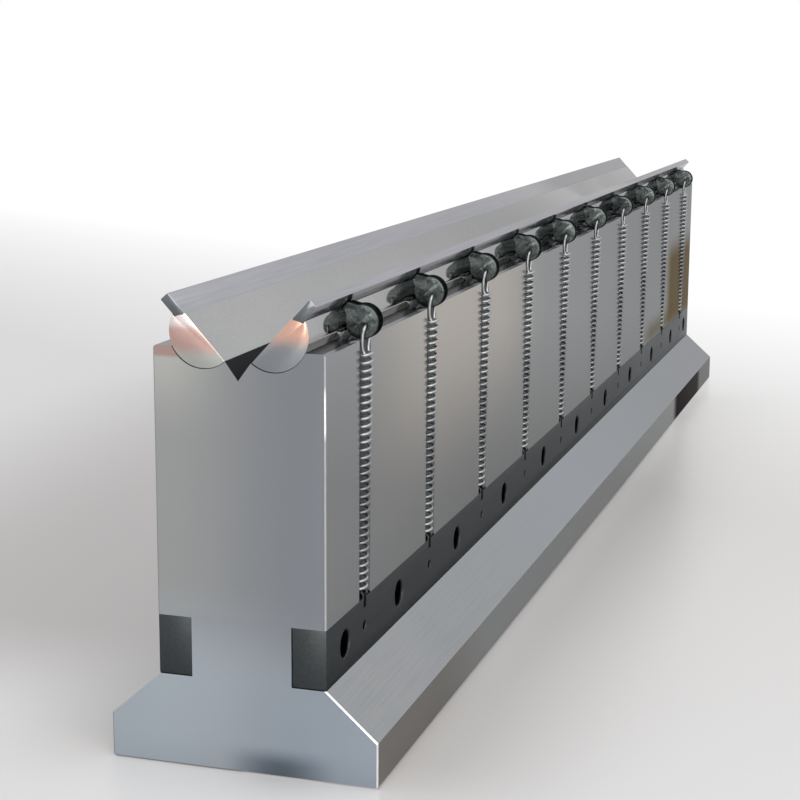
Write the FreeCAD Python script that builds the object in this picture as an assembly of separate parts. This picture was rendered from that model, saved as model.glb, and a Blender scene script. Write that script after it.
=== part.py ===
import FreeCAD, Part
import math
import os

os.makedirs("parts", exist_ok=True)

V = FreeCAD.Vector

# Frame: X across the die, Y along it, Z up from the bottom of the foot. Millimetres.

# die body
LENGTH = 500.0
FOOT_WIDTH = 60.0
FOOT_SIDE_HEIGHT = 10.0
BODY_WIDTH = 37.5
FOOT_TOP = 20.0
SHOULDER_Z = 90.4
EDGE_BREAK = 0.5
END_BREAK = 0.3

# rollers
ROLLER_RADIUS = 7.5
ROLLER_X = 7.65
ROLLER_Z = 93.55
FLAT_DROP = 0.4
SEAT_CLEARANCE = 0.08
END_INSET = 0.2
CLOSED_ANGLE = 47.5

# relief groove under the rollers
RELIEF_HALF_WIDTH = 2.8
RELIEF_APEX_Z = 83.9

# wings, in the roller's own frame with its flat level
WING_TOP = -0.5
WING_THICKNESS = 2.15
WING_TIP = 10.85
WING_ROOT_TOP = 4.9
WING_ROOT_BOTTOM = 6.3
WING_GAP = 0.03

# spring stations
STATIONS = 10
STATION_MARGIN = 25.0

# levers, in the roller's own frame
LEVER_WIDTH = 6.0
LEVER_GAP = 0.05
NOSE_A = 7.39
NOSE_B = -7.85
NOSE_RADIUS = 3.05
NECK_TOP = -2.72
NECK_TIP = 8.4
FORK_GAP = 1.6
FORK_FLOOR = -6.2
PIN_A = 7.0
PIN_B = -8.6
PIN_RADIUS = 0.6
PIN_FIT = 0.02

# slots in the body for levers and springs
SLOT_WIDTH = 7.5

# anchor strips
STRIP_DEPTH = 7.6
STRIP_BOTTOM = 20.0
STRIP_TOP = 33.0
STRIP_GAP = 0.05
STRIP_MID_Z = 26.5
NOTCH_WIDTH = 5.0
NOTCH_DEPTH_Z = 2.5
NOTCH_DEPTH_X = 4.4
HOOK_SLOT_INSET = 2.15
HOOK_SLOT_THICKNESS = 1.3
HOOK_SLOT_WIDTH = 4.6
HOOK_SLOT_BOTTOM = 24.0

# strip screws
SCREW_END_MARGIN = 12.0
SCREW_BORE_RADIUS = 3.0
SCREW_BORE_DEPTH = 3.4
SCREW_HEAD_RADIUS = 2.75
SCREW_HEAD_HEIGHT = 3.0
SCREW_SHANK_RADIUS = 1.5
SCREW_HOLE_RADIUS = 1.7
SCREW_THREAD_DEPTH = 7.0
SCREW_THREAD_FIT = 0.03
SCREW_SOCKET = 2.5
SCREW_SOCKET_DEPTH = 1.5

# anchor pins
ANCHOR_RADIUS = 1.0
ANCHOR_FIT = 0.02
ANCHOR_RECESS = 0.3
ANCHOR_END_GAP = 0.85

# springs
SPRING_RADIUS = 2.0
SPRING_WIRE = 0.7
COIL_TOP_Z = 86.9
COIL_BOTTOM_Z = 35.0
ANCHOR_EYE_INSET = 1.5
EYE_SLACK = 0.25

# flat sides given to small round pieces and holes, so that the model stays light
EYE_SIDES = 4
PIN_SIDES = 8
HOLE_SIDES = 6
HEAD_SIDES = 14
SPRING_SIDES = 12
NOSE_STEPS = 10

HALF_LENGTH = LENGTH / 2.0
STATION_PITCH = (LENGTH - 2.0 * STATION_MARGIN) / (STATIONS - 1)
FIRST_STATION = STATION_MARGIN - HALF_LENGTH
SCREW_ENDS = HALF_LENGTH - SCREW_END_MARGIN
HALF_BODY = BODY_WIDTH / 2.0
HALF_FOOT = FOOT_WIDTH / 2.0
SEAT_RADIUS = ROLLER_RADIUS + SEAT_CLEARANCE
SLOT_FLOOR_X = HALF_BODY - STRIP_DEPTH
HOOK_SLOT_X = HALF_BODY - HOOK_SLOT_INSET
ANCHOR_END_X = SLOT_FLOOR_X + ANCHOR_END_GAP
ANCHOR_EYE_X = HALF_BODY - ANCHOR_EYE_INSET
ROLLER_END = HALF_LENGTH - END_INSET
CUT_OVER = 1.0


def station_ys():
    return [FIRST_STATION + STATION_PITCH * k for k in range(STATIONS)]


def screw_ys():
    inner = [FIRST_STATION + STATION_PITCH * (k + 0.5) for k in range(STATIONS - 1)]
    return [-SCREW_ENDS] + inner + [SCREW_ENDS]


def box(x0, x1, y0, y1, z0, z1):
    return Part.makeBox(x1 - x0, y1 - y0, z1 - z0, V(x0, y0, z0))


def prism(edges, y0, y1):
    face = Part.Face(Part.Wire(edges))
    face.translate(V(0, y0, 0))
    return face.extrude(V(0, y1 - y0, 0))


def polygon_edges(points):
    pairs = zip(points, points[1:] + points[:1])
    return [Part.makeLine(V(a[0], 0, a[1]), V(b[0], 0, b[1])) for a, b in pairs]


def polygon_prism(points, y0, y1):
    return prism(polygon_edges(points), y0, y1)


def rod(radius, sides, start, end, up):
    """A straight rod with flat sides, whose corners lie on the radius."""
    along = end - start
    side = along.cross(up).normalize()
    turn = 2.0 * math.pi / sides
    corners = []
    for k in range(sides):
        angle = (k + 0.5) * turn
        corners.append(start + up * (radius * math.cos(angle)) + side * (radius * math.sin(angle)))
    return Part.Face(Part.makePolygon(corners + corners[:1])).extrude(along)


def x_rod(radius, sides, x0, x1, y, z):
    return rod(radius, sides, V(x0, y, z), V(x1, y, z), V(0, 0, 1))


def y_rod(radius, sides, y0, y1, x, z):
    return rod(radius, sides, V(x, y0, z), V(x, y1, z), V(0, 0, 1))


def mirrored(shape):
    return shape.mirror(V(0, 0, 0), V(1, 0, 0))


def save(node, shape):
    shape.exportStep(os.path.join("parts", node + ".step"))


def save_pair(node, shape):
    save(node + "_right", shape)
    save(node + "_left", mirrored(shape))


def close(shape):
    """Turns a shape drawn with the flat level into the closed V, on the right roller's axis."""
    shape.rotate(V(0, 0, 0), V(0, 1, 0), -CLOSED_ANGLE)
    shape.translate(V(ROLLER_X, 0, ROLLER_Z))
    return shape


def closed_point(a, b):
    c = math.cos(math.radians(CLOSED_ANGLE))
    s = math.sin(math.radians(CLOSED_ANGLE))
    return ROLLER_X + a * c - b * s, ROLLER_Z + a * s + b * c


def seat_point(x):
    return ROLLER_Z - math.sqrt(SEAT_RADIUS ** 2 - (x - ROLLER_X) ** 2)


def body_profile():
    """Outline of the body, with both roller seats and the relief groove between them."""
    drop = ROLLER_Z - SHOULDER_Z
    seat_edge = ROLLER_X + math.sqrt(SEAT_RADIUS ** 2 - drop ** 2)
    inner_z = seat_point(RELIEF_HALF_WIDTH)
    right = [
        (0.0, 0.0),
        (HALF_FOOT - EDGE_BREAK, 0.0),
        (HALF_FOOT, EDGE_BREAK),
        (HALF_FOOT, FOOT_SIDE_HEIGHT),
        (HALF_BODY, FOOT_TOP),
        (SLOT_FLOOR_X, STRIP_BOTTOM),
        (SLOT_FLOOR_X, STRIP_TOP),
        (HALF_BODY, STRIP_TOP),
        (HALF_BODY, SHOULDER_Z - EDGE_BREAK),
        (HALF_BODY - EDGE_BREAK, SHOULDER_Z),
        (seat_edge, SHOULDER_Z),
    ]
    edges = []
    for a, b in zip(right, right[1:]):
        edges.append(Part.makeLine(V(a[0], 0, a[1]), V(b[0], 0, b[1])))
    bottom = V(ROLLER_X, 0, ROLLER_Z - SEAT_RADIUS)
    start = V(seat_edge, 0, SHOULDER_Z)
    end = V(RELIEF_HALF_WIDTH, 0, inner_z)
    edges.append(Part.Arc(start, bottom, end).toShape())
    edges.append(Part.makeLine(end, V(0, 0, RELIEF_APEX_Z)))
    return edges


def chamfer_ends(shape):
    ends = []
    for edge in shape.Edges:
        box_of = edge.BoundBox
        flat = box_of.YLength < 1e-6 and abs(abs(box_of.YMin) - HALF_LENGTH) < 1e-6
        low = box_of.ZMax < STRIP_BOTTOM + 1e-6
        side = abs(box_of.XMin) > SLOT_FLOOR_X + 1e-6 and box_of.XLength < 1e-6
        if flat and (low and abs(box_of.ZMin) < FOOT_TOP - 1e-6 or side):
            ends.append(edge)
    return shape.makeChamfer(END_BREAK, ends)


def make_body():
    half = body_profile()
    spine = [Part.makeLine(V(0, 0, RELIEF_APEX_Z), V(0, 0, 0))]
    right = prism(half + spine, -HALF_LENGTH, HALF_LENGTH)
    body = right.fuse(mirrored(right)).removeSplitter()
    body = chamfer_ends(body)
    cuts = []
    half_slot = SLOT_WIDTH / 2.0
    for y in station_ys():
        cuts.append(box(SLOT_FLOOR_X, HALF_BODY + CUT_OVER, y - half_slot, y + half_slot, STRIP_TOP - CUT_OVER,
                        SHOULDER_Z + CUT_OVER))
    for y in screw_ys():
        cuts.append(x_rod(SCREW_SHANK_RADIUS, HOLE_SIDES, SLOT_FLOOR_X - SCREW_THREAD_DEPTH,
                          SLOT_FLOOR_X + CUT_OVER, y, STRIP_MID_Z))
    cuts = cuts + [mirrored(c) for c in cuts]
    return body.cut(cuts)


def make_roller():
    half_chord = math.sqrt(ROLLER_RADIUS ** 2 - FLAT_DROP ** 2)
    shelf = WING_TOP - WING_THICKNESS - WING_GAP
    slope = (WING_ROOT_BOTTOM - WING_ROOT_TOP) / (WING_THICKNESS + WING_GAP)
    root_top = WING_ROOT_TOP - slope * (WING_TOP - (-FLAT_DROP)) * -1.0 - WING_GAP
    root_bottom = WING_ROOT_BOTTOM - WING_GAP
    shelf_edge = math.sqrt(ROLLER_RADIUS ** 2 - shelf ** 2)
    left = V(-half_chord, 0, -FLAT_DROP)
    outer = V(shelf_edge, 0, shelf)
    edges = [
        Part.makeLine(left, V(root_top, 0, -FLAT_DROP)),
        Part.makeLine(V(root_top, 0, -FLAT_DROP), V(root_bottom, 0, shelf)),
        Part.makeLine(V(root_bottom, 0, shelf), outer),
        Part.Arc(outer, V(0, 0, -ROLLER_RADIUS), left).toShape(),
    ]
    roller = prism(edges, -ROLLER_END, ROLLER_END)
    half_slot = LEVER_WIDTH / 2.0 + LEVER_GAP
    floor_a = NOSE_A - NOSE_RADIUS - LEVER_GAP
    cuts = [box(floor_a, ROLLER_RADIUS + CUT_OVER, y - half_slot, y + half_slot, -ROLLER_RADIUS - CUT_OVER, shelf)
            for y in station_ys()]
    return close(roller.cut(cuts))


def make_wing():
    bottom = WING_TOP - WING_THICKNESS
    points = [(WING_ROOT_TOP, WING_TOP), (WING_TIP, WING_TOP), (WING_TIP, bottom), (WING_ROOT_BOTTOM, bottom)]
    return close(polygon_prism(points, -ROLLER_END, ROLLER_END))


def tangent_point():
    """Where the lever's outer flank meets its round nose."""
    da = NECK_TIP - NOSE_A
    db = NECK_TOP - NOSE_B
    reach = math.hypot(da, db)
    angle = math.atan2(db, da) - math.acos(NOSE_RADIUS / reach)
    return NOSE_A + NOSE_RADIUS * math.cos(angle), NOSE_B + NOSE_RADIUS * math.sin(angle)


def nose_points():
    """The lever's round nose, from its outer flank round to its heel."""
    ta, tb = tangent_point()
    start = math.atan2(tb - NOSE_B, ta - NOSE_A)
    sweep = -math.pi - start
    points = []
    for k in range(NOSE_STEPS + 1):
        angle = start + sweep * k / NOSE_STEPS
        points.append((NOSE_A + NOSE_RADIUS * math.cos(angle), NOSE_B + NOSE_RADIUS * math.sin(angle)))
    return points


def make_lever(y):
    back = NOSE_A - NOSE_RADIUS
    half = LEVER_WIDTH / 2.0
    outline = [(back, NECK_TOP), (NECK_TIP, NECK_TOP)] + nose_points()
    lever = polygon_prism(outline, y - half, y + half)
    half_fork = FORK_GAP / 2.0
    fork = box(back - CUT_OVER, NOSE_A + NOSE_RADIUS + CUT_OVER, y - half_fork, y + half_fork,
               NOSE_B - NOSE_RADIUS - CUT_OVER, FORK_FLOOR)
    bore = y_rod(PIN_RADIUS, PIN_SIDES, y - half - CUT_OVER, y + half + CUT_OVER, PIN_A, PIN_B)
    return close(lever.cut([fork, bore]))


def make_hook_pins():
    half = LEVER_WIDTH / 2.0
    pins = [y_rod(PIN_RADIUS - PIN_FIT, PIN_SIDES, y - half, y + half, PIN_A, PIN_B) for y in station_ys()]
    return close(Part.makeCompound(pins))


def make_strip():
    x0 = SLOT_FLOOR_X + STRIP_GAP
    strip = box(x0, HALF_BODY, -ROLLER_END, ROLLER_END, STRIP_BOTTOM + STRIP_GAP, STRIP_TOP - STRIP_GAP)
    cuts = []
    for y in screw_ys():
        cuts.append(x_rod(SCREW_HOLE_RADIUS, HOLE_SIDES, x0 - CUT_OVER, HALF_BODY, y, STRIP_MID_Z))
        cuts.append(x_rod(SCREW_BORE_RADIUS, HEAD_SIDES, HALF_BODY - SCREW_BORE_DEPTH, HALF_BODY + CUT_OVER, y,
                          STRIP_MID_Z))
    for y in station_ys():
        half = NOTCH_WIDTH / 2.0
        cuts.append(box(HALF_BODY - NOTCH_DEPTH_X, HALF_BODY + CUT_OVER, y - half, y + half,
                        STRIP_TOP - NOTCH_DEPTH_Z, STRIP_TOP + CUT_OVER))
        half = HOOK_SLOT_WIDTH / 2.0
        cuts.append(box(HOOK_SLOT_X, HOOK_SLOT_X + HOOK_SLOT_THICKNESS, y - half, y + half, HOOK_SLOT_BOTTOM,
                        STRIP_TOP))
        cuts.append(x_rod(ANCHOR_RADIUS, PIN_SIDES, ANCHOR_END_X, HALF_BODY + CUT_OVER, y, STRIP_MID_Z))
    return strip.cut(cuts)


def make_screws():
    screws = []
    head_x0 = HALF_BODY - SCREW_BORE_DEPTH
    head_x1 = head_x0 + SCREW_HEAD_HEIGHT
    shank_end = SLOT_FLOOR_X - SCREW_THREAD_DEPTH + STRIP_GAP * 2.0
    shank_radius = SCREW_SHANK_RADIUS - SCREW_THREAD_FIT
    socket_radius = SCREW_SOCKET / 2.0 / math.cos(math.pi / 6.0)
    for y in screw_ys():
        head = x_rod(SCREW_HEAD_RADIUS, HEAD_SIDES, head_x0, head_x1, y, STRIP_MID_Z)
        shank = x_rod(shank_radius, HOLE_SIDES, shank_end, head_x0, y, STRIP_MID_Z)
        socket = x_rod(socket_radius, 6, head_x1 - SCREW_SOCKET_DEPTH, head_x1 + CUT_OVER, y, STRIP_MID_Z)
        screws.append(head.fuse(shank).cut(socket))
    return Part.makeCompound(screws)


def make_anchor_pins():
    pins = [x_rod(ANCHOR_RADIUS - ANCHOR_FIT, PIN_SIDES, ANCHOR_END_X + STRIP_GAP, HALF_BODY - ANCHOR_RECESS, y,
                  STRIP_MID_Z) for y in station_ys()]
    return Part.makeCompound(pins)


def ring(centre, normal, up, inner, wire):
    """A spring's end eye, with square wire and flat sides."""
    def outline(apothem, push):
        radius = apothem / math.cos(math.pi / EYE_SIDES)
        side = normal.cross(up)
        turn = 2.0 * math.pi / EYE_SIDES
        corners = []
        for k in range(EYE_SIDES):
            angle = (k + 0.5) * turn
            corners.append(centre + normal * push + up * (radius * math.cos(angle)) + side * (radius * math.sin(angle)))
        return Part.makePolygon(corners + corners[:1])

    base = Part.Face([outline(inner + wire, -wire / 2.0), outline(inner, -wire / 2.0)])
    return base.extrude(normal * wire)


def bar(start, end, wire, normal):
    """Square wire from start to end."""
    along = end - start
    axis = V(along.x, along.y, along.z).normalize()
    side = normal.cross(axis).normalize()
    half = wire / 2.0
    corners = [start + normal * (i * half) + side * (j * half) for i, j in ((-1, -1), (1, -1), (1, 1), (-1, 1))]
    return Part.Face(Part.makePolygon(corners + corners[:1])).extrude(along)


def make_spring(y):
    px, pz = closed_point(PIN_A, PIN_B)
    eye_inner = PIN_RADIUS + EYE_SLACK
    anchor_inner = ANCHOR_RADIUS + EYE_SLACK
    upper = V(px, y, pz - EYE_SLACK)
    lower = V(ANCHOR_EYE_X, y, STRIP_MID_Z + EYE_SLACK)
    axis = (upper - lower).normalize()

    def at(z):
        share = (z - lower.z) / (upper.z - lower.z)
        return lower + (upper - lower) * share

    y_axis = V(0, 1, 0)
    across = y_axis.cross(axis).normalize()
    coil = rod(SPRING_RADIUS, SPRING_SIDES, at(COIL_BOTTOM_Z), at(COIL_TOP_Z), y_axis)
    top_eye = ring(upper, y_axis, axis, eye_inner, SPRING_WIRE)
    low_eye = ring(lower, across, axis, anchor_inner, SPRING_WIRE)
    top_bar = bar(at(COIL_TOP_Z - SPRING_WIRE), upper - axis * (eye_inner + SPRING_WIRE / 2.0), SPRING_WIRE, y_axis)
    low_bar = bar(lower + axis * (anchor_inner + SPRING_WIRE / 2.0), at(COIL_BOTTOM_Z + SPRING_WIRE), SPRING_WIRE,
                  y_axis)
    return coil.fuse([top_bar, top_eye, low_bar, low_eye]).removeSplitter()


save("die_body", make_body())
save_pair("roller", make_roller())
save_pair("wing", make_wing())
save_pair("hook_pins", make_hook_pins())
save_pair("anchor_strip", make_strip())
save_pair("strip_screws", make_screws())
save_pair("anchor_pins", make_anchor_pins())

for index, station in enumerate(station_ys(), start=1):
    number = "%02d" % index
    lever = make_lever(station)
    save("lever_right_" + number, lever)
    save("lever_left_" + number, mirrored(lever))
    spring = make_spring(station)
    save("spring_right_" + number, spring)
    save("spring_left_" + number, mirrored(spring))
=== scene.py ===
"""Dressed model of a sprung-roller press brake V die.

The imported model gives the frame. Steel finishes, round bores, coil springs and hook levers are added here.
All lengths are written in millimetres and turned to metres by ``mm``.
"""

import logging
import math
from dataclasses import dataclass, field
from enum import Enum
from typing import Callable, Iterable, Optional, Sequence, Union

import bpy
from mathutils import Matrix, Vector


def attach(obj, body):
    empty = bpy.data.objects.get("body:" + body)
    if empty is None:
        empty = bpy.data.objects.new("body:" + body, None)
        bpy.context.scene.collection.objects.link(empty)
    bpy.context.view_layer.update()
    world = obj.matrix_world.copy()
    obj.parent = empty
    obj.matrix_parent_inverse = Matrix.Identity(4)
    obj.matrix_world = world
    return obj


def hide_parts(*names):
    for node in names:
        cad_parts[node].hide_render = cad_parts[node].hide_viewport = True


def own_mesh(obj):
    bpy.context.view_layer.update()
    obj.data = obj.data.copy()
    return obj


LOG = logging.getLogger("v_die")

Tree = bpy.types.NodeTree
Socket = bpy.types.NodeSocket
Material = bpy.types.Material
Piece = bpy.types.Object

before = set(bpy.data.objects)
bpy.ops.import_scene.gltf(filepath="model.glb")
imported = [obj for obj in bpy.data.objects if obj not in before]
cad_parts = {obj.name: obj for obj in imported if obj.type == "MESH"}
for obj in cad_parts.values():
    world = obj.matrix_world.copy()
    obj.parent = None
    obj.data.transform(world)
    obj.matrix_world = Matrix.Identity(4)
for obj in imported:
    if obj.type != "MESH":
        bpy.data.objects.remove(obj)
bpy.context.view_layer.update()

# Each side has a lever and a spring at every station along the die, and the strip's end screws lie beyond them.
STATIONS = 10
STATION_PITCH = 50.0
STATION_FIRST = -225.0
SCREW_END = 238.0

# How far a cutting tool reaches past what it cuts, in millimetres, and how near in metres is the same place.
OVER = 1.0
HAIR = 1e-6
# Sides of a small round hole or pin.
SMALL_SIDES = 32
# How gently a tint fades as a face turns away.
TURN_FADE = 0.05


class Side(Enum):
    """The two long sides of the die."""

    RIGHT = 1
    LEFT = -1

    @property
    def word(self) -> str:
        """The side's name as the record spells it."""
        return self.name.lower()

    @property
    def body(self) -> str:
        """The moving body that carries this side's roller."""
        return f"roller_{self.word}_group"

    @property
    def joint(self) -> str:
        """The joint that turns this side's roller."""
        return f"roller_{self.word}_turn"


def mm(value: float) -> float:
    """Millimetres as metres."""
    return value * 0.001


def point(x: float, y: float, z: float) -> Vector:
    """A point given in millimetres, as a vector in metres."""
    return Vector((mm(x), mm(y), mm(z)))


def station_places() -> list[float]:
    """Where the springs stand along the die, in millimetres."""
    return [STATION_FIRST + STATION_PITCH * k for k in range(STATIONS)]


def screw_places() -> list[float]:
    """Where the strip screws stand along the die, in millimetres."""
    inner = [STATION_FIRST + STATION_PITCH * (k + 0.5) for k in range(STATIONS - 1)]
    return [-SCREW_END, *inner, SCREW_END]


# ---------------------------------------------------------------- colour and nodes


def linear(code: str) -> tuple[float, float, float, float]:
    """Turns an sRGB hex colour to linear RGBA.

    Args:
        code: six hex digits, with or without a hash.

    Returns:
        Red, green, blue and alpha, each from 0 to 1.
    """
    digits = code.lstrip("#")
    channels = []
    for start in (0, 2, 4):
        value = int(digits[start : start + 2], 16) / 255.0
        low = value / 12.92
        high = ((value + 0.055) / 1.055) ** 2.4
        channels.append(low if value <= 0.04045 else high)
    return channels[0], channels[1], channels[2], 1.0


def add_node(tree: Tree, kind: str, links: Optional[dict] = None, **settings) -> bpy.types.Node:
    """Adds a node with its settings, values and links.

    Args:
        tree: the node tree that gets it.
        kind: the node's type name.
        links: socket name or index to a value, or to the output socket that feeds it.
        **settings: attributes of the node itself.

    Returns:
        The new node.
    """
    node = tree.nodes.new(kind)
    for key, value in settings.items():
        setattr(node, key, value)
    for key, value in (links or {}).items():
        socket = node.inputs[key]
        if isinstance(value, Socket):
            tree.links.new(value, socket)
        else:
            socket.default_value = value
    return node


def ramp(tree: Tree, source: Socket, stops: Sequence[tuple[float, str]]) -> Socket:
    """Colours a value by a row of stops.

    Args:
        tree: the node tree.
        source: the value to colour.
        stops: position and hex colour of each stop, in order.

    Returns:
        The colour output.
    """
    node = add_node(tree, "ShaderNodeValToRGB", {0: source})
    elements = node.color_ramp.elements
    while len(elements) < len(stops):
        elements.new(0.5)
    for element, (place, code) in zip(elements, stops):
        element.position = place
        element.color = linear(code)
    return node.outputs[0]


# ---------------------------------------------------------------- finishes


Shade = Union[Socket, tuple[float, float, float, float]]
Look = tuple[Shade, Socket, Shade]
Span = tuple[Optional[float], Optional[float], float]


@dataclass(frozen=True)
class Tint:
    """A place on a piece where the colour changes, as a soft-edged box and a way that the face looks.

    ``x``, ``y`` and ``z`` give the box's low limit, high limit and fade in millimetres, and a limit of None is open.
    A face counts where its normal along ``axis`` is between the ``facing`` limits.
    """

    colour: str
    amount: float
    x: Optional[Span] = None
    y: Optional[Span] = None
    z: Optional[Span] = None
    axis: Optional[int] = None
    facing: tuple[float, float] = (0.9, 1.1)
    roughness: Optional[float] = None
    gloss: Optional[str] = None

    def lay(self, tree: Tree, look: Look) -> Look:
        """Mixes the tint over a surface's look.

        Args:
            tree: the material's nodes.
            look: the colour, roughness and edge gloss so far.

        Returns:
            The look with the tint in it.
        """
        place = add_node(tree, "ShaderNodeTexCoord").outputs["Object"]
        where = add_node(tree, "ShaderNodeSeparateXYZ", {0: place})
        mask = None
        for k, span in enumerate((self.x, self.y, self.z)):
            low, high, fade = span or (None, None, 0.0)
            for edge, way in ((low, fade), (high, -fade)):
                if edge is not None:
                    rise = self._ease(tree, where.outputs[k], (mm(edge - way), mm(edge + way)))
                    mask = self._times(tree, mask, rise)
        if self.axis is not None:
            normal = add_node(tree, "ShaderNodeNewGeometry").outputs["Normal"]
            split = add_node(tree, "ShaderNodeSeparateXYZ", {0: normal}).outputs[self.axis]
            turned = add_node(tree, "ShaderNodeMath", {0: split}, operation="ABSOLUTE").outputs[0]
            low, high = self.facing
            mask = self._times(tree, mask, self._ease(tree, turned, (low - TURN_FADE, low + TURN_FADE)))
            if high < 1.0:
                mask = self._times(tree, mask, self._ease(tree, turned, (high + TURN_FADE, high - TURN_FADE)))
        share = add_node(tree, "ShaderNodeMath", {0: mask, 1: self.amount}, operation="MULTIPLY").outputs[0]
        colour, rough, gloss = look
        colour = self._mix(tree, share, colour, linear(self.colour))
        if self.roughness is not None:
            links = {0: share, 2: rough, 3: self.roughness}
            rough = add_node(tree, "ShaderNodeMix", links, data_type="FLOAT").outputs[0]
        if self.gloss is not None:
            gloss = self._mix(tree, share, gloss, linear(self.gloss))
        return colour, rough, gloss

    @staticmethod
    def _mix(tree: Tree, share: Socket, under: Shade, over: Shade) -> Socket:
        """Lays one colour over another by a share."""
        return add_node(tree, "ShaderNodeMix", {0: share, 6: under, 7: over}, data_type="RGBA").outputs[2]

    @staticmethod
    def _ease(tree: Tree, value: Socket, span: tuple[float, float]) -> Socket:
        """Rises smoothly from none at the span's start to all at its end."""
        links = {"Value": value, 1: span[0], 2: span[1]}
        return add_node(tree, "ShaderNodeMapRange", links, interpolation_type="SMOOTHSTEP").outputs[0]

    @staticmethod
    def _times(tree: Tree, mask: Optional[Socket], other: Socket) -> Socket:
        """The product of two masks, or the second where there is no first."""
        if mask is None:
            return other
        return add_node(tree, "ShaderNodeMath", {0: mask, 1: other}, operation="MULTIPLY").outputs[0]


@dataclass(frozen=True)
class SteelFinish:
    """A bare or blackened steel surface with the marks of how it was made. Sizes are in millimetres."""

    name: str
    light: str
    dark: str
    roughness: float
    roughness_spread: float = 0.04
    grind_spacing: float = 0.5
    grind_along: tuple[float, float, float] = (1.0, 0.02, 1.0)
    grind_depth: float = 0.05
    grind_height: float = 0.05
    blotch_size: float = 60.0
    dent_size: float = 0.0
    dent_depth: float = 0.0
    edge_gloss: float = 0.6
    tints: tuple[Tint, ...] = ()

    def build(self) -> Material:
        """Makes the material.

        Returns:
            The material, ready to go on a piece.
        """
        material = bpy.data.materials.new(self.name)
        material.use_nodes = True
        tree = material.node_tree
        tree.nodes.clear()
        place = add_node(tree, "ShaderNodeTexCoord").outputs["Object"]
        lines = self._grind_lines(tree, place)
        clouds = add_node(
            tree,
            "ShaderNodeTexNoise",
            {"Vector": place, "Scale": 1.0 / mm(self.blotch_size), "Detail": 3.0, "Roughness": 0.55},
        ).outputs["Fac"]
        tone = add_node(tree, "ShaderNodeMath", {0: clouds, 1: lines}, operation="ADD").outputs[0]
        # The two noises together lie mostly between 0.7 and 1.3, and the clouds alone between 0.3 and 0.7.
        tone = add_node(tree, "ShaderNodeMapRange", {"Value": tone, 1: 0.7, 2: 1.3}).outputs[0]
        colour = ramp(tree, tone, [(0.0, self.dark), (1.0, self.light)])
        least, most = self.roughness - self.roughness_spread, self.roughness + self.roughness_spread
        rough = add_node(tree, "ShaderNodeMapRange", {"Value": clouds, 1: 0.3, 2: 0.7, 3: least, 4: most}).outputs[0]
        look: Look = (colour, rough, (self.edge_gloss, self.edge_gloss, self.edge_gloss, 1.0))
        for tint in self.tints:
            look = tint.lay(tree, look)
        colour, rough, gloss = look
        ridges = {"Height": lines, "Strength": self.grind_depth, "Distance": mm(self.grind_height)}
        bump = add_node(tree, "ShaderNodeBump", ridges).outputs[0]
        if self.dent_depth:
            bump = self._dents(tree, place, bump)
        shader = add_node(
            tree,
            "ShaderNodeBsdfPrincipled",
            {"Base Color": colour, "Metallic": 1.0, "Roughness": rough, "Normal": bump, "Specular Tint": gloss},
        ).outputs[0]
        add_node(tree, "ShaderNodeOutputMaterial", {"Surface": shader})
        return material

    def _grind_lines(self, tree: Tree, place: Socket) -> Socket:
        """Fine lines along the way the surface was ground."""
        per_metre = 1.0 / mm(self.grind_spacing)
        scale = Vector(self.grind_along) * per_metre
        stretched = add_node(tree, "ShaderNodeMapping", {"Vector": place, "Scale": scale}).outputs[0]
        return add_node(
            tree, "ShaderNodeTexNoise", {"Vector": stretched, "Scale": 1.0, "Detail": 2.0, "Roughness": 0.6}
        ).outputs["Fac"]

    def _dents(self, tree: Tree, place: Socket, normal: Socket) -> Socket:
        """The shallow dents that tumbling and peening leave."""
        dents = add_node(
            tree,
            "ShaderNodeTexNoise",
            {"Vector": place, "Scale": 1.0 / mm(self.dent_size), "Detail": 2.0, "Roughness": 0.5},
        ).outputs["Fac"]
        return add_node(
            tree,
            "ShaderNodeBump",
            {"Height": dents, "Strength": 1.0, "Distance": mm(self.dent_depth), "Normal": normal},
        ).outputs[0]


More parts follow.
